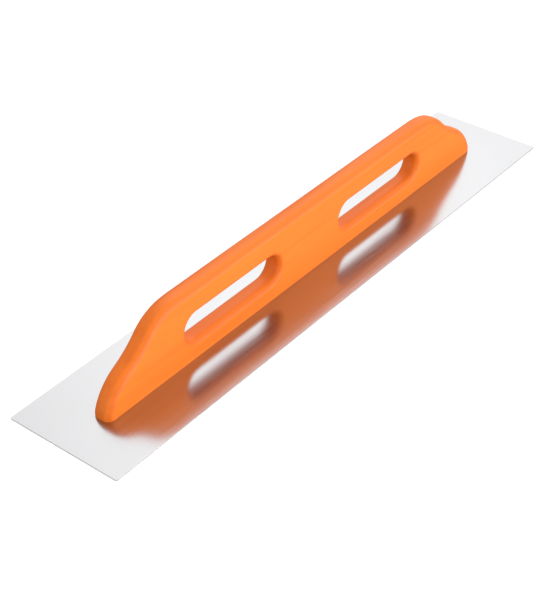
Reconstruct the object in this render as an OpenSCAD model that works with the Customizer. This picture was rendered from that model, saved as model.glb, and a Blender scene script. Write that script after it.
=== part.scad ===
// Long finishing trowel for plaster and filler: a thin stainless blade with one
// full-length wooden handle that has two hand slots, screwed on from below.
// X runs along the blade, Y across it, +Z is up. The origin is the centre of the
// blade's sole, the face that slides on the wall, so the sole lies on z = 0.

/* [Blade] */
// Length of the blade
blade_len = 680; // [620:10:800]
// Width of the blade
blade_w = 130; // [100:5:160]
// Thickness of the blade's sheet
blade_t = 0.7; // [0.5:0.1:1]
// Radius of the blade's four corners
blade_corner_r = 2; // [1:0.5:10]

/* [Handle] */
// Length of the handle along its base
handle_len = 585; // [560:5:610]
// Height of the handle above the blade
handle_h = 78; // [77.5:0.5:84]
// Thickness of the handle's board
handle_t = 21; // [18:0.5:26]
// Radius of the handle's rounded outer edges
edge_r = 7.5; // [4:0.5:8]

/* [Handle ends] */
// Radius at the foot of the nose
nose_r = 18; // [16:1:24]
// Radius of the nose's back
back_r = 60; // [56:1:60]
// Radius of the hollow between nose and grip
hollow_r = 105; // [95:5:105]
// Radius of the shoulder that leads up to the grip
shoulder_r = 55; // [50:1:55]
// Radius that eases the shoulder into the straight top
ease_r = 120; // [60:10:120]

/* [Hand slots] */
// Length of one hand slot
slot_len = 137; // [120:1:145]
// Height of one hand slot
slot_h = 30.5; // [26:0.5:32]
// Distance of a slot's middle from the middle of the handle
slot_x = 117; // [110:1:125]
// Height of a slot's middle above the blade
slot_z = 34.2; // [33:0.1:36]
// Radius of the slots' rounded edges
slot_edge_r = 6; // [3:0.5:7]

/* [Screws] */
// Number of screws in the row
screw_n = 7; // [3:2:7]
// Distance between screws
screw_pitch = 90; // [60:5:90]
// Diameter of a screw's shank where it grips the wood
screw_d = 3; // [2.5:0.1:3.5]
// Diameter of a screw's countersunk head
screw_head_d = 6.9; // [6:0.1:7.5]
// Length of a screw, head included
screw_len = 16; // [12:1:18]

/* [Hidden] */
$fn = 96;

// Tangent directions where the end curve changes radius, as outward normals
// measured up from the horizontal.
p1 = 21;  // foot of the nose to back
p2 = 62;  // back to hollow
p3 = 43;  // hollow to shoulder
p4 = 83;  // shoulder to ease

// Rise of the end curve from the nose's foot to the straight top
rise = nose_r * sin(p1) + back_r * (sin(p2) - sin(p1))
     - hollow_r * (sin(p3) - sin(p2)) + shoulder_r * (sin(p4) - sin(p3))
     + ease_r * (1 - sin(p4));
nose_flat = handle_h - rise;           // short upright foot that takes up the rest
base_z = blade_t;
top_z = base_z + handle_h;

function dir(a) = [cos(a), sin(a)];
c0 = [handle_len / 2 - nose_r, base_z + nose_flat];
c1 = c0 + (nose_r - back_r) * dir(p1);
c2 = c1 + (back_r + hollow_r) * dir(p2);
c3 = c2 - (hollow_r + shoulder_r) * dir(p3);
c4 = c3 + (shoulder_r - ease_r) * dir(p4);

band = edge_r + 2;                     // width of the rim pieces
inset = edge_r + 1;                    // the core stops this far inside the rim
slot_r = slot_h / 2;
slot_band = slot_edge_r + 1.6;
slot_grow = slot_edge_r + 0.8;
slot_half = slot_len / 2 - slot_r;     // half the straight run of a slot
slot_cz = base_z + slot_z;

// Dimple that seats a screw head flush with the sole, a 90 degree cone
dim_r = screw_head_d / 2 + 0.05;       // mouth at the sole
dim_top = dim_r - screw_d / 2 - 0.45;  // height where the dimple ends
skirt = blade_t * 0.7071;              // sheet thickness resolved along the cone

// ---- shared shapes -------------------------------------------------------

// Cross-section of a rim from a to b, rounded on both faces at b
module rim_section(a, b, r, t) {
    s = b > a ? 1 : -1;
    lo = min(a, b - s * r);
    hi = max(a, b - s * r);
    translate([lo, -t / 2]) square([hi - lo, t]);
    translate([min(a, b), -(t / 2 - r)]) square([abs(b - a), t - 2 * r]);
    for (k = [-1, 1]) translate([b - s * r, k * (t / 2 - r)]) circle(r);
}

// Moves to a point of the XZ plane in three steps, whole millimetres, thousandths
// and the rest, so that pieces that meet there meet exactly
module put(c) {
    w = [floor(c[0]), floor(c[1])];
    t = [floor((c[0] - w[0]) * 1000) / 1000, floor((c[1] - w[1]) * 1000) / 1000];
    r = c - w - t;
    translate([w[0], 0, w[1]]) translate([t[0], 0, t[1]]) translate([r[0], 0, r[1]]) children();
}

// Rim section turned about centre c, from angle a0 to a1 in the XZ plane
module rim_arc(c, a0, a1, r_in, r_edge, r) {
    put(c) rotate([90, 0, 0])
        rotate_extrude(angle = a1 - a0, start = a0) rim_section(r_in, r_edge, r, handle_t);
}

// Rim section run straight along X from x0 to x1; its edge is at height z_edge
module rim_bar(x0, x1, z_in, z_edge, r) {
    translate([x0, 0, 0]) rotate([90, 0, 90])
        linear_extrude(x1 - x0) rotate([0, 0, 90]) rim_section(z_in, z_edge, r, handle_t);
}

// Points along an arc, radius r about c
function arc(c, r, a0, a1, n) = [for (i = [0:n]) c + r * dir(a0 + (a1 - a0) * i / n)];

module stadium(half, r) {
    square([2 * half, 2 * r], center = true);
    for (s = [-1, 1]) translate([s * half, 0]) circle(r);
}

module screw_row() {
    for (i = [0:screw_n - 1]) translate([(i - (screw_n - 1) / 2) * screw_pitch, 0, 0]) children();
}

// ---- handle --------------------------------------------------------------

module handle_core() {
    end = concat([[handle_len / 2 - inset, base_z]],
        arc(c0, nose_r - inset, 0, p1, 2), arc(c1, back_r - inset, p1, p2, 5),
        arc(c2, -(hollow_r + inset), p2, p3, 3), arc(c3, shoulder_r - inset, p3, p4, 5),
        arc(c4, ease_r - inset, p4, 90, 2));
    n = len(end);
    outline = concat(end, [for (i = [n - 1:-1:0]) [-end[i][0], end[i][1]]]);
    rotate([90, 0, 0]) linear_extrude(handle_t, center = true) difference() {
        polygon(outline);
        for (s = [-1, 1]) translate([s * slot_x, slot_cz]) stadium(slot_half, slot_r + slot_grow);
    }
}

// The rounded rim of one end, from the nose's foot to the straight top
module handle_end() {
    foot = nose_flat * 0.6;
    translate([0, 0, base_z]) linear_extrude(foot)
        rim_section(handle_len / 2 - band, handle_len / 2, edge_r, handle_t);
    put(c0) translate([0, 0, -foot]) linear_extrude(foot)
        rim_section(nose_r - band, nose_r, edge_r, handle_t);
    rim_arc(c0, 0, p1, nose_r - band, nose_r, edge_r);
    rim_arc(c1, p1, p2, back_r - band, back_r, edge_r);
    rim_arc(c2, 180 + p3, 180 + p2, hollow_r + band, hollow_r, edge_r);
    rim_arc(c3, p3, p4, shoulder_r - band, shoulder_r, edge_r);
    rim_arc(c4, p4, 90, ease_r - band, ease_r, edge_r);
    put(c4) rim_bar(-floor(c4[0]), 0, ease_r - band, ease_r, edge_r);
}

// The rounded rim round one hand slot
module slot_rim() {
    rim_arc([slot_half, slot_cz], -90, 90, slot_r + slot_band, slot_r, slot_edge_r);
    rim_arc([-slot_half, slot_cz], 90, 270, slot_r + slot_band, slot_r, slot_edge_r);
    rim_bar(-slot_half, slot_half, slot_cz + slot_r + slot_band, slot_cz + slot_r, slot_edge_r);
    rim_bar(-slot_half, slot_half, slot_cz - slot_r - slot_band, slot_cz - slot_r, slot_edge_r);
}

// Countersink for the blade's dimple with the pilot hole above it
module pilot() {
    cylinder(h = screw_len + 0.5, d = screw_d, $fn = 48);
    translate([0, 0, base_z - 0.3]) cylinder(
        h = dim_top + skirt - base_z + 0.3,
        r1 = dim_r + 2 * skirt - base_z + 0.3, r2 = dim_r - dim_top + skirt, $fn = 48);
}

module handle() {
    color([0.93, 0.50, 0.20]) difference() {
        union() {
            handle_core();
            rim_bar(-20, 20, top_z - band, top_z, edge_r);
            handle_end();
            mirror([1, 0, 0]) handle_end();
            for (s = [-1, 1]) translate([s * slot_x, 0, 0]) slot_rim();
        }
        screw_row() pilot();
    }
}

// ---- blade ---------------------------------------------------------------

module dimple() {
    rotate_extrude($fn = 48) polygon([
        [dim_r, 0], [dim_r - dim_top, dim_top],
        [dim_r - dim_top + skirt, dim_top + skirt],
        [dim_r + 2 * skirt - blade_t, blade_t],
        [dim_r + 1.6, blade_t], [dim_r + 1.6, 0]]);
}

module blade() {
    color([0.88, 0.89, 0.90]) union() {
        difference() {
            linear_extrude(blade_t) {
                square([blade_len - 2 * blade_corner_r, blade_w], center = true);
                square([blade_len, blade_w - 2 * blade_corner_r], center = true);
                for (sx = [-1, 1], sy = [-1, 1])
                    translate([sx * (blade_len / 2 - blade_corner_r), sy * (blade_w / 2 - blade_corner_r)])
                        circle(blade_corner_r);
            }
            screw_row() translate([0, 0, -1]) cylinder(h = blade_t + 2, r = dim_r + 1.6, $fn = 48);
        }
        screw_row() dimple();
    }
}

// ---- screws --------------------------------------------------------------

// Countersunk wood screw standing on its head, with a cross recess below
module wood_screw() {
    r = screw_d / 2;
    rim = screw_head_d / 2;
    difference() {
        rotate_extrude($fn = 48) polygon([
            [0, 0.05], [rim, 0.05], [r, 0.05 + rim - r],
            [r, screw_len - 2.5], [0.25, screw_len], [0, screw_len]]);
        for (a = [0, 90]) rotate([0, 0, a]) translate([-1.9, -0.4, -0.5]) cube([3.8, 0.8, 1.7]);
    }
}

module blade_screws() {
    color([0.80, 0.80, 0.82]) screw_row() wood_screw();
}

blade();
handle();
blade_screws();
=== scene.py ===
import math

import bmesh
import bpy
import numpy as np
from mathutils import Vector, Quaternion, Matrix
from mathutils.geometry import delaunay_2d_cdt


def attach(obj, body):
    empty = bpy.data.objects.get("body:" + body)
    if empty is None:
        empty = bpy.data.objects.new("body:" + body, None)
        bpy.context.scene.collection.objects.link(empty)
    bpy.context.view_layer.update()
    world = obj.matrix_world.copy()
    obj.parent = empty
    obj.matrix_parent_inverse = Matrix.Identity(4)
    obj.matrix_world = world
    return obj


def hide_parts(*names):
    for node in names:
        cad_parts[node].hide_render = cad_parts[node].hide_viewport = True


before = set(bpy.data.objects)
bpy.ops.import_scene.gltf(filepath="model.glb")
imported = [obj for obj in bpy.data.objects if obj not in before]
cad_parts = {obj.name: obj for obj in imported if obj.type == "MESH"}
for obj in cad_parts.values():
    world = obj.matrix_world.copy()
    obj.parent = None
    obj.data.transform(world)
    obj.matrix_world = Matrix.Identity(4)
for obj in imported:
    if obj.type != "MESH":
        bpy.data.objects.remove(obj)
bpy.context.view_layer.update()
scene = bpy.context.scene
MM = 0.001

# ------------------------------------------------------------------ sizes (mm), as in the CAD model
BLADE_L, BLADE_W, BLADE_T, BLADE_R = 680.0, 130.0, 0.7, 2.0
HL, HH, HT, ER = 585.0 / 2, 78.0, 21.0, 7.5
BASE = BLADE_T
SLOT_X, SLOT_Z, SLOT_HALF, SLOT_R, SR = 117.0, BLADE_T + 34.2, 53.25, 15.25, 6.0
SCREWS = [(i - 3) * 90.0 for i in range(7)]


# ------------------------------------------------------------------ mesh helpers
class Sheet:
    """Collects vertices (mm) and faces, and welds points that coincide."""

    def __init__(self):
        self.v, self.f, self.key = [], [], {}

    def add(self, p):
        k = (round(p[0], 4), round(p[1], 4), round(p[2], 4))
        i = self.key.get(k)
        if i is None:
            i = self.key[k] = len(self.v)
            self.v.append((float(p[0]), float(p[1]), float(p[2])))
        return i

    def face(self, ids):
        out = []
        for i in ids:
            if not out or i != out[-1]:
                out.append(i)
        if len(out) > 1 and out[0] == out[-1]:
            out.pop()
        if len(out) >= 3 and len(set(out)) == len(out):
            self.f.append(out)

    def grid(self, rows, close_u=False, close_v=False, flip=False):
        """rows: a list of rings of points; quads join neighbours."""
        ids = [[self.add(p) for p in row] for row in rows]
        n, m = len(ids), len(ids[0])
        for i in range(n if close_u else n - 1):
            for j in range(m if close_v else m - 1):
                a, b = ids[i][j], ids[(i + 1) % n][j]
                c, d = ids[(i + 1) % n][(j + 1) % m], ids[i][(j + 1) % m]
                self.face([a, d, c, b] if flip else [a, b, c, d])

    def flat(self, outer, holes, place, inner=(), flip=False):
        """Fills a plane region: outer loop, hole loops and extra inner points, all 2D; place maps 2D to 3D."""
        own, edges, first = [], [], 0
        for loop in [outer] + list(holes):
            n = len(loop)
            own += [(float(p[0]), float(p[1])) for p in loop]
            edges += [(first + i, first + (i + 1) % n) for i in range(n)]
            first += n
        own += [(float(p[0]), float(p[1])) for p in inner]
        v, _, f, src, _, _ = delaunay_2d_cdt([Vector(p) for p in own], edges, [], 0, 1e-6)
        # the points go back to their exact values, so that they weld to the rims
        ids = [self.add(place(own[src[i][0]] if src[i] else v[i])) for i in range(len(v))]
        o, hs = np.array(outer, float), [np.array(h, float) for h in holes]
        for tri in f:
            c = (v[tri[0]] + v[tri[1]] + v[tri[2]]) / 3
            if not inside(o, c) or any(inside(h, c) for h in hs):
                continue
            a, b, d = v[tri[0]], v[tri[1]], v[tri[2]]
            area = (b.x - a.x) * (d.y - a.y) - (b.y - a.y) * (d.x - a.x)
            t = [ids[k] for k in tri]
            if (area < 0) != flip:
                t.reverse()
            self.face(t)

    def make(self, name, smooth_angle=40.0):
        me = bpy.data.meshes.new(name)
        me.from_pydata([(x * MM, y * MM, z * MM) for x, y, z in self.v], [], self.f)
        me.validate()
        me.update()
        ob = bpy.data.objects.new(name, me)
        scene.collection.objects.link(ob)
        me.shade_smooth()
        sharp_by_angle(me, smooth_angle)
        return ob


def inside(loop, p):
    x, y = p[0], p[1]
    a, b = loop, np.roll(loop, -1, axis=0)
    hit = ((a[:, 1] > y) != (b[:, 1] > y))
    with np.errstate(divide="ignore", invalid="ignore"):
        xx = (b[:, 0] - a[:, 0]) * (y - a[:, 1]) / (b[:, 1] - a[:, 1]) + a[:, 0]
    return bool(np.count_nonzero(hit & (x < xx)) % 2)


def sharp_by_angle(me, angle):
    """Marks edges sharper than the angle, so that shading is smooth only where the surface is."""
    me.calc_loop_triangles()
    nrm = np.zeros(len(me.polygons) * 3)
    me.polygons.foreach_get("normal", nrm)
    nrm = nrm.reshape(-1, 3)
    first = {}
    lim = math.cos(math.radians(angle))
    sharp = np.zeros(len(me.edges), dtype=bool)
    for poly in me.polygons:
        for li in poly.loop_indices:
            e = me.loops[li].edge_index
            if e in first:
                if float(nrm[first[e]] @ nrm[poly.index]) < lim:
                    sharp[e] = True
            else:
                first[e] = poly.index
    att = me.attributes.get("sharp_edge") or me.attributes.new("sharp_edge", "BOOLEAN", "EDGE")
    att.data.foreach_set("value", sharp)
    me.update()


def recalc(ob):
    """Turns every face outwards, and stops if an edge has not exactly two faces."""
    bm = bmesh.new()
    bm.from_mesh(ob.data)
    bmesh.ops.recalc_face_normals(bm, faces=bm.faces)
    bad = [e for e in bm.edges if len(e.link_faces) != 2]
    bm.to_mesh(ob.data)
    bm.free()
    if bad:
        raise RuntimeError("%s has %d open edges" % (ob.name, len(bad)))


def true_normals(me, axis, half):
    """Shading normals: exact on the two flat faces at +-half (mm) and at the seams of their rims."""
    co = np.zeros(len(me.vertices) * 3)
    me.vertices.foreach_get("co", co)
    co = co.reshape(-1, 3) / MM
    nrm = np.zeros(len(me.loops) * 3)
    me.corner_normals.foreach_get("vector", nrm)
    nrm = nrm.reshape(-1, 3)
    vi = np.zeros(len(me.loops), dtype=np.int64)
    me.loops.foreach_get("vertex_index", vi)
    pn = np.zeros(len(me.polygons) * 3)
    me.polygons.foreach_get("normal", pn)
    pn = pn.reshape(-1, 3)
    face = np.zeros(len(me.loops), dtype=np.int64)
    for poly in me.polygons:
        face[poly.loop_start:poly.loop_start + poly.loop_total] = poly.index
    for side in (-1.0, 1.0):
        hit = (np.abs(co[vi, axis] - side * half) < 1e-3) & (pn[face, axis] * side > 0.7)
        nrm[hit] = 0.0
        nrm[hit, axis] = side
    me.normals_split_custom_set([tuple(v) for v in nrm])
    me.update()


# ------------------------------------------------------------------ handle
ARCS = [(18.0, 90, 69, 1), (60.0, 69, 28, 1), (105.0, 28, 47, -1), (55.0, 47, 7, 1), (120.0, 7, 0, 1)]


def end_curve():
    """Right end of the handle from its foot to the straight top: (x, z, nx, nz)."""
    sin, cos, rad = math.sin, math.cos, math.radians
    rise = sum(s * r * (cos(rad(b)) - cos(rad(a))) for r, a, b, s in ARCS)
    x, z = HL, BASE
    out = [(x, z, 1.0, 0.0)]
    z += HH - rise
    out.append((x, z, 1.0, 0.0))
    for r, a, b, s in ARCS:
        n = max(3, int(math.ceil(r * abs(rad(a - b)) / 2.0)))
        x0, z0 = x, z
        for i in range(1, n + 1):
            t = rad(a + (b - a) * i / n)
            x = x0 + s * r * (sin(t) - sin(rad(a)))
            z = z0 + s * r * (cos(t) - cos(rad(a)))
            out.append((x, z, sin(t), cos(t)))
    return out


def outline():
    right = end_curve()
    xe = right[-1][0]
    n = int(xe * 2 / 4.0)
    top = [(xe - 2 * xe * i / n, BASE + HH, 0.0, 1.0) for i in range(1, n)]
    left = [(-x, z, -nx, nz) for x, z, nx, nz in reversed(right)]
    return right + top + left


def rim(r, half, k=12):
    """(inset, y) from the front face round to the back face, for an edge radius r."""
    out = []
    for i in range(k + 1):
        a = math.pi / 2 * i / k
        out.append((r * (1 - math.sin(a)), -(half - r) - r * math.cos(a)))
    for i in range(k + 1):
        a = math.pi / 2 * i / k
        out.append((r * (1 - math.cos(a)), (half - r) + r * math.sin(a)))
    return out


def slot_loop(cx, cz, half, r, step=2.2):
    """Stadium, anticlockwise, with normals that point into the slot."""
    out = []
    n = max(8, int(round(2 * half / 3.2)))
    m = max(12, int(round(math.pi * r / step)))
    for i in range(n):
        out.append((cx - half + 2 * half * i / n, cz - r, 0.0, 1.0))
    for i in range(m):
        a = -math.pi / 2 + math.pi * i / m
        out.append((cx + half + r * math.cos(a), cz + r * math.sin(a), -math.cos(a), -math.sin(a)))
    for i in range(n):
        out.append((cx + half - 2 * half * i / n, cz + r, 0.0, -1.0))
    for i in range(m):
        a = math.pi / 2 + math.pi * i / m
        out.append((cx - half + r * math.cos(a), cz + r * math.sin(a), -math.cos(a), -math.sin(a)))
    return out


def circle(cx, cy, r, n=32):
    return [(cx + r * math.cos(2 * math.pi * i / n), cy + r * math.sin(2 * math.pi * i / n)) for i in range(n)]


def build_handle():
    s = Sheet()
    half = HT / 2
    path = outline()
    sec = rim(ER, half)
    s.grid([[(x - nx * d, y, z - nz * d) for d, y in sec] for x, z, nx, nz in path])
    loops = []
    ssec = rim(SR, half)
    for sx in (-SLOT_X, SLOT_X):
        lp = slot_loop(sx, SLOT_Z, SLOT_HALF, SLOT_R)
        s.grid([[(x - nx * d, y, z - nz * d) for d, y in ssec] for x, z, nx, nz in lp], close_u=True)
        loops.append([(x - nx * SR, z - nz * SR) for x, z, nx, nz in lp])
    # front and back faces, with a base edge divided like the rest
    inner_path = [(x - nx * ER, z - nz * ER) for x, z, nx, nz in path]
    xb = HL - ER
    nb = int(2 * xb / 4.5)
    base = [(-xb + 2 * xb * i / nb, BASE) for i in range(1, nb)]
    outer = inner_path + base
    grid = []
    arr = np.array(outer)
    hs = [np.array(h) for h in loops]
    for i in range(-70, 71):
        for j in range(0, 20):
            p = (i * 4.4 + (2.2 if j % 2 else 0.0), BASE + 3.5 + j * 3.9)
            if not inside(arr, p) or any(inside(h, p) for h in hs):
                continue
            d = min(np.hypot(arr[:, 0] - p[0], arr[:, 1] - p[1]).min(),
                    min(np.hypot(h[:, 0] - p[0], h[:, 1] - p[1]).min() for h in hs))
            if d > 2.6:
                grid.append(p)
    s.flat(outer, loops, lambda p: (p[0], -half, p[1]), grid)
    s.flat(outer, loops, lambda p: (p[0], half, p[1]), grid, flip=True)
    # underside with the countersunk pilot holes
    foot_r = [(HL - d, y) for d, y in sec]
    foot_l = [(-HL + d, y) for d, y in reversed(sec)]
    back = [(x, half) for x, _ in reversed(base)]
    front = [(x, -half) for x, _ in base]
    plan = foot_r + back + foot_l + front
    plan = [p for i, p in enumerate(plan) if math.dist(p, plan[i - 1]) > 1e-6]
    r_mouth, r_neck, r_bore, z_neck = 3.5 + 0.99 - 0.7, 1.95 + 0.495, 1.5, 1.55 + 0.495
    holes = [circle(x, 0.0, r_mouth) for x in SCREWS]
    s.flat(plan, holes, lambda p: (p[0], p[1], BASE), flip=True)
    for x in SCREWS:
        rings = [(r_mouth, BASE), (r_neck, z_neck), (r_bore, z_neck), (r_bore, 16.5), (0.4, 17.0)]
        s.grid([[(px, py, z) for px, py in circle(x, 0.0, r)] for r, z in rings], close_v=True)
        s.face([s.add((px, py, 17.0)) for px, py in circle(x, 0.0, 0.4)])
    ob = s.make("handle_board")
    recalc(ob)
    sharp_by_angle(ob.data, 40)
    true_normals(ob.data, 1, half)
    return ob


# ------------------------------------------------------------------ blade
def rounded_rect(l, w, r, n=8):
    out = []
    for cx, cy, a0 in ((l / 2 - r, w / 2 - r, 0), (-l / 2 + r, w / 2 - r, 90),
                       (-l / 2 + r, -w / 2 + r, 180), (l / 2 - r, -w / 2 + r, 270)):
        for i in range(n + 1):
            a = math.radians(a0 + 90 * i / n)
            out.append((cx + r * math.cos(a), cy + r * math.sin(a)))
    return out


def build_blade():
    s = Sheet()
    b = 0.12
    prof = [(b, 0.0), (b * 0.3, b * 0.3), (0.0, b), (0.0, BLADE_T - b), (b * 0.3, BLADE_T - b * 0.3), (b, BLADE_T)]
    rings = []
    for d, z in prof:
        rings.append([(x, y, z) for x, y in rounded_rect(BLADE_L - 2 * d, BLADE_W - 2 * d, BLADE_R - d)])
    s.grid(rings, close_v=True)
    low = [(x, y) for x, y, _ in rings[0]]
    grid = []
    for i in range(-33, 34):
        for j in range(-5, 6):
            p = (i * 10.0 + (5.0 if j % 2 else 0.0), j * 11.5)
            if abs(p[0]) < 336 and abs(p[1]) < 62 and min(math.hypot(p[0] - x, p[1]) for x in SCREWS) > 7:
                grid.append(p)
    for z, r0, flip in ((0.0, 3.5, True), (BLADE_T, 3.79, False)):
        holes = [circle(x, 0.0, r0 + (0.0 if z == 0 else 0.0)) for x in SCREWS]
        s.flat(low, holes, lambda p, z=z: (p[0], p[1], z), grid, flip=flip)
    for x in SCREWS:
        ring = [(3.5, 0.0), (1.95, 1.55), (2.445, 2.045), (3.79, BLADE_T)]
        s.grid([[(px, py, z) for px, py in circle(x, 0.0, r)] for r, z in ring], close_v=True)
    ob = s.make("blade_sheet")
    recalc(ob)
    sharp_by_angle(ob.data, 12)
    return ob


# ------------------------------------------------------------------ screws
def build_screws():
    """Countersunk wood screws: head with a tapered cross recess, neck and rolled thread."""
    s = Sheet()
    n, rim_r = 48, 3.39
    for k, sx in enumerate(SCREWS):
        turn = 0.35 + 0.83 * k
        c, sn = math.cos(turn), math.sin(turn)

        def put(r, a, z):
            x, y = r * math.cos(a), r * math.sin(a)
            return (sx + x * c - y * sn, x * sn + y * c, z)

        ang = [2 * math.pi * i / n for i in range(n)]

        def recess(a, depth):
            """Outline of the cross recess at a depth."""
            w, arm = 0.52 - 0.16 * depth, 1.9 - 0.75 * depth
            u, v = abs(math.cos(a)), abs(math.sin(a))
            hi, lo = max(u, v), min(u, v)
            r1 = arm / hi if lo / hi <= w / arm else w / lo
            return min(r1, arm * 1.02)

        rows = []
        for z, r in ((0.05, rim_r - 0.06), (0.11, rim_r), (0.11, rim_r)):
            rows.append([put(r, a, z) for a in ang])
        rows[2:] = []
        for i in range(1, 7):
            t = i / 6
            rows.append([put(rim_r + (1.5 - rim_r) * t, a, 0.11 + (rim_r - 1.5) * t) for a in ang])
        z = 2.4
        while z < 13.6:
            rows.append([])
            for a in ang:
                ph = ((z - a / (2 * math.pi) * 1.6) / 1.6) % 1.0
                ridge = max(0.0, 1 - abs(ph - 0.5) / 0.28)
                on = min(1.0, max(0.0, (z - 5.0) / 1.2))
                core = 1.5 - 0.32 * on
                rows[-1].append(put(core + 0.32 * ridge * on, a, z))
            z += 0.16
        for i in range(1, 7):
            t = i / 6
            rows.append([put(max(0.12, 1.18 * (1 - t)), a, 13.6 + 2.3 * t) for a in ang])
        s.grid(rows, close_v=True)
        s.face([s.add(p) for p in rows[-1]])
        # head face with the recess
        lip = [put(recess(a, 0.0), a, 0.05) for a in ang]
        s.grid([rows[0], [put(2.6, a, 0.05) for a in ang], lip], close_v=True, flip=True)
        wall = [[put(recess(a, d), a, 0.05 + 1.25 * d) for a in ang] for d in (0.0, 0.3, 0.65, 1.0)]
        s.grid(wall, close_v=True, flip=True)
        s.face([s.add(p) for p in wall[-1]])
    ob = s.make("blade_screw_row")
    recalc(ob)
    sharp_by_angle(ob.data, 35)
    return ob


# ------------------------------------------------------------------ materials
def material(name):
    m = bpy.data.materials.new(name)
    m.use_nodes = True
    nt = m.node_tree
    nt.nodes.clear()
    out = nt.nodes.new("ShaderNodeOutputMaterial")
    sh = nt.nodes.new("ShaderNodeBsdfPrincipled")
    nt.links.new(sh.outputs["BSDF"], out.inputs["Surface"])
    return m, nt, sh


def node(nt, kind, **values):
    n = nt.nodes.new(kind)
    for k, v in values.items():
        if hasattr(n, k):
            setattr(n, k, v)
    return n


def noise(nt, coord, scale, detail=4.0, rough=0.5, stretch=(1, 1, 1), offset=(0, 0, 0)):
    mp = nt.nodes.new("ShaderNodeMapping")
    mp.inputs["Scale"].default_value = stretch
    mp.inputs["Location"].default_value = offset
    nt.links.new(coord, mp.inputs["Vector"])
    nz = nt.nodes.new("ShaderNodeTexNoise")
    nz.inputs["Scale"].default_value = scale
    nz.inputs["Detail"].default_value = detail
    nz.inputs["Roughness"].default_value = rough
    nt.links.new(mp.outputs["Vector"], nz.inputs["Vector"])
    return nz.outputs["Fac"]


def ramp(nt, fac, stops):
    r = nt.nodes.new("ShaderNodeValToRGB")
    el = r.color_ramp.elements
    while len(el) < len(stops):
        el.new(0.5)
    for e, (p, c) in zip(el, stops):
        e.position = p
        e.color = (*c, 1.0) if len(c) == 3 else c
    nt.links.new(fac, r.inputs["Fac"])
    return r.outputs["Color"]


def to_range(nt, fac, a, b, c, d):
    m = nt.nodes.new("ShaderNodeMapRange")
    m.inputs["From Min"].default_value = a
    m.inputs["From Max"].default_value = b
    m.inputs["To Min"].default_value = c
    m.inputs["To Max"].default_value = d
    nt.links.new(fac, m.inputs["Value"])
    return m.outputs["Result"]


def mix(nt, kind, fac, a, b):
    m = nt.nodes.new("ShaderNodeMix")
    m.data_type = "RGBA"
    m.blend_type = kind
    if isinstance(fac, float):
        m.inputs["Factor"].default_value = fac
    else:
        nt.links.new(fac, m.inputs["Factor"])
    nt.links.new(a, m.inputs[6])
    nt.links.new(b, m.inputs[7])
    return m.outputs[2]


def bump(nt, height, strength, distance, normal=None):
    b = nt.nodes.new("ShaderNodeBump")
    b.inputs["Strength"].default_value = strength
    b.inputs["Distance"].default_value = distance
    nt.links.new(height, b.inputs["Height"])
    if normal is not None:
        nt.links.new(normal, b.inputs["Normal"])
    return b.outputs["Normal"]


def lacquer():
    m, nt, sh = material("orange_lacquer_on_wood")
    co = nt.nodes.new("ShaderNodeTexCoord").outputs["Object"]
    # slow variation of the coat's depth, then the wood's grain telegraphing through it
    cloud = noise(nt, co, 9.0, 2.0, 0.5, stretch=(0.5, 1, 1))
    grain = noise(nt, co, 90.0, 5.0, 0.6, stretch=(0.035, 1, 1), offset=(3.1, 0.4, 1.7))
    fleck = noise(nt, co, 420.0, 2.0, 0.5, stretch=(0.06, 1, 1), offset=(0.3, 2.4, 5.7))
    base = ramp(nt, cloud, [(0.3, (0.89, 0.187, 0.011)), (0.7, (0.93, 0.204, 0.013))])
    tint = ramp(nt, grain, [(0.25, (0.86, 0.78, 0.70)), (0.5, (0.98, 0.965, 0.95)), (0.75, (1.0, 1.0, 1.0))])
    tint2 = ramp(nt, fleck, [(0.3, (0.95, 0.93, 0.9)), (0.55, (1.0, 1.0, 1.0))])
    col = mix(nt, "MULTIPLY", 0.9, base, tint)
    col = mix(nt, "MULTIPLY", 0.7, col, tint2)
    # painted shade: the base colour is darkened over the rounded rims, where the light falls off: |normal y|
    # between the flats (1) and the top, ends and slot walls (0)
    split = nt.nodes.new("ShaderNodeSeparateXYZ")
    nt.links.new(nt.nodes.new("ShaderNodeTexCoord").outputs["Normal"], split.inputs[0])
    side = nt.nodes.new("ShaderNodeMath")
    side.operation = "ABSOLUTE"
    nt.links.new(split.outputs["Y"], side.inputs[0])
    # painted shade mask: darkest partway round the rims, none on the flats or on the top, ends and slot walls
    rim = ramp(nt, side.outputs[0], [(0.45, (1.0, 1.0, 1.0)), (0.8, (0.88, 0.80, 0.72)), (0.93, (0.9, 0.82, 0.75)),
                                     (1.0, (1.0, 1.0, 1.0))])
    col = mix(nt, "MULTIPLY", 1.0, col, rim)
    nt.links.new(col, sh.inputs["Base Color"])
    nt.links.new(to_range(nt, grain, 0.25, 0.75, 0.54, 0.42), sh.inputs["Roughness"])
    n1 = bump(nt, grain, 0.10, 0.0006)
    n2 = bump(nt, noise(nt, co, 700.0, 2.0, 0.5), 0.05, 0.0002, n1)
    nt.links.new(n2, sh.inputs["Normal"])
    sh.inputs["Specular IOR Level"].default_value = 0.3
    sh.inputs["Coat Weight"].default_value = 0.03
    sh.inputs["Coat Roughness"].default_value = 0.3
    sh.inputs["IOR"].default_value = 1.5
    return m


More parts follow.
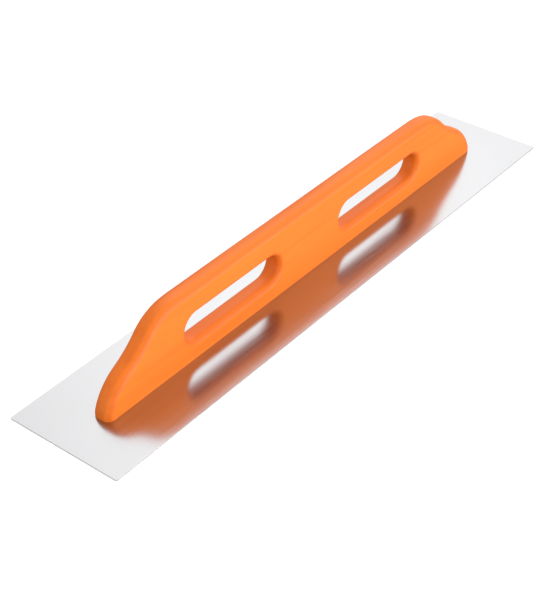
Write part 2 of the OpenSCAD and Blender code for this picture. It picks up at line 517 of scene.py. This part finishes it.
def steel():
    m, nt, sh = material("satin_stainless_sheet")
    co = nt.nodes.new("ShaderNodeTexCoord").outputs["Object"]
    lines = noise(nt, co, 900.0, 3.0, 0.6, stretch=(0.02, 1, 1))
    soft = noise(nt, co, 6.0, 2.0, 0.5)
    col = ramp(nt, soft, [(0.3, (0.436, 0.436, 0.442)), (0.7, (0.454, 0.454, 0.461))])
    tint = ramp(nt, lines, [(0.3, (0.96, 0.96, 0.96)), (0.7, (1.0, 1.0, 1.0))])
    nt.links.new(mix(nt, "MULTIPLY", 0.8, col, tint), sh.inputs["Base Color"])
    nt.links.new(to_range(nt, lines, 0.3, 0.7, 0.155, 0.215), sh.inputs["Roughness"])
    nt.links.new(bump(nt, lines, 0.04, 0.00005), sh.inputs["Normal"])
    sh.inputs["Metallic"].default_value = 1.0
    return m


def screw_steel():
    m, nt, sh = material("plain_screw_steel")
    co = nt.nodes.new("ShaderNodeTexCoord").outputs["Object"]
    mott = noise(nt, co, 900.0, 3.0, 0.6)
    nt.links.new(ramp(nt, mott, [(0.3, (0.52, 0.53, 0.54)), (0.7, (0.66, 0.66, 0.67))]), sh.inputs["Base Color"])
    nt.links.new(to_range(nt, mott, 0.3, 0.7, 0.22, 0.36), sh.inputs["Roughness"])
    nt.links.new(bump(nt, mott, 0.06, 0.0001), sh.inputs["Normal"])
    sh.inputs["Metallic"].default_value = 1.0
    return m


def floor_paint():
    m, nt, sh = material("pale_floor")
    co = nt.nodes.new("ShaderNodeTexCoord").outputs["Object"]
    fine = noise(nt, co, 40.0, 3.0, 0.5)
    nt.links.new(ramp(nt, fine, [(0.3, (0.93, 0.93, 0.93)), (0.7, (0.95, 0.95, 0.95))]), sh.inputs["Base Color"])
    sh.inputs["Roughness"].default_value = 0.9
    sh.inputs["Specular IOR Level"].default_value = 0.1
    sh.inputs["Emission Color"].default_value = (1.0, 1.0, 1.0, 1.0)
    sh.inputs["Emission Strength"].default_value = 0.3
    return m


# ------------------------------------------------------------------ assemble
handle = build_handle()
handle.data.materials.append(lacquer())
blade = build_blade()
blade.data.materials.append(steel())
screws = build_screws()
screws.data.materials.append(screw_steel())
for ob, nd, sl in ((handle, "handle", "handle_lacquer"), (blade, "blade", "blade_steel"),
                   (screws, "blade_screws", "screw_steel")):
    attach(ob, "root")
    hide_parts(nd)

# ------------------------------------------------------------------ floor, light and camera
fs = Sheet()
fs.face([fs.add(p) for p in ((-6000, -6000, -0.4), (6000, -6000, -0.4), (6000, 6000, -0.4), (-6000, 6000, -0.4))])
floor = fs.make("floor")
floor.data.materials.append(floor_paint())
floor.visible_diffuse = False
floor.visible_glossy = False

# The studio: an even surround, and soft brighter areas of it, each given as (direction,
# cosine where it is full, cosine where it ends, strength).
SURROUND = 0.6
LOBES = [
    ((0.525, 0.525, 0.669), 0.96, 0.62, 0.43),
    ((0.621, 0.503, 0.602), 0.99, 0.90, 0.45),
    ((0.597, 0.509, 0.619), 0.9985, 0.985, 0.25),
    ((0.743, 0.0, 0.669), 0.96, 0.62, 0.56),
    ((-0.978, 0.0, 0.1), 0.96, 0.62, 0.55),
    ((0.20, -0.978, 0.02), 0.96, 0.78, 5.6),
]

world = bpy.data.worlds.new("studio")
scene.world = world
world.use_nodes = True
wt = world.node_tree
bg = wt.nodes["Background"]
bg.inputs["Color"].default_value = (1.0, 1.0, 1.0, 1.0)
way = wt.nodes.new("ShaderNodeTexCoord").outputs["Generated"]
total = None
for d, c_in, c_out, power in LOBES:
    dot = wt.nodes.new("ShaderNodeVectorMath")
    dot.operation = "DOT_PRODUCT"
    dot.inputs[1].default_value = Vector(d).normalized()
    wt.links.new(way, dot.inputs[0])
    fall = wt.nodes.new("ShaderNodeMapRange")
    fall.interpolation_type = "SMOOTHSTEP"
    for k, v in (("From Min", c_out), ("From Max", c_in), ("To Min", 0.0), ("To Max", power)):
        fall.inputs[k].default_value = v
    wt.links.new(dot.outputs["Value"], fall.inputs["Value"])
    add = wt.nodes.new("ShaderNodeMath")
    add.operation = "ADD"
    add.inputs[1].default_value = SURROUND
    if total is not None:
        wt.links.new(total, add.inputs[1])
    wt.links.new(fall.outputs["Result"], add.inputs[0])
    total = add.outputs[0]
wt.links.new(total, bg.inputs["Strength"])
scene.view_settings.view_transform = "Standard"
scene.view_settings.look = "None"

cam_data = bpy.data.cameras.new("camera")
cam = bpy.data.objects.new("camera", cam_data)
scene.collection.objects.link(cam)
scene.camera = cam
cam_data.sensor_width = 36.0
cam_data.lens = 1510.57 / 594 * 36.0
cam_data.clip_start = 0.05
cam_data.clip_end = 50.0
az, el, roll = math.radians(50.5348), math.radians(36.9065), math.radians(-1.0528)
fwd = Vector((math.sin(az) * math.cos(el), math.cos(az) * math.cos(el), -math.sin(el)))
q = fwd.to_track_quat("-Z", "Y")
cam.rotation_mode = "QUATERNION"
cam.rotation_quaternion = q @ Quaternion((0, 0, 1), roll)
cam.location = (-0.97250, -0.75469, 0.88754)
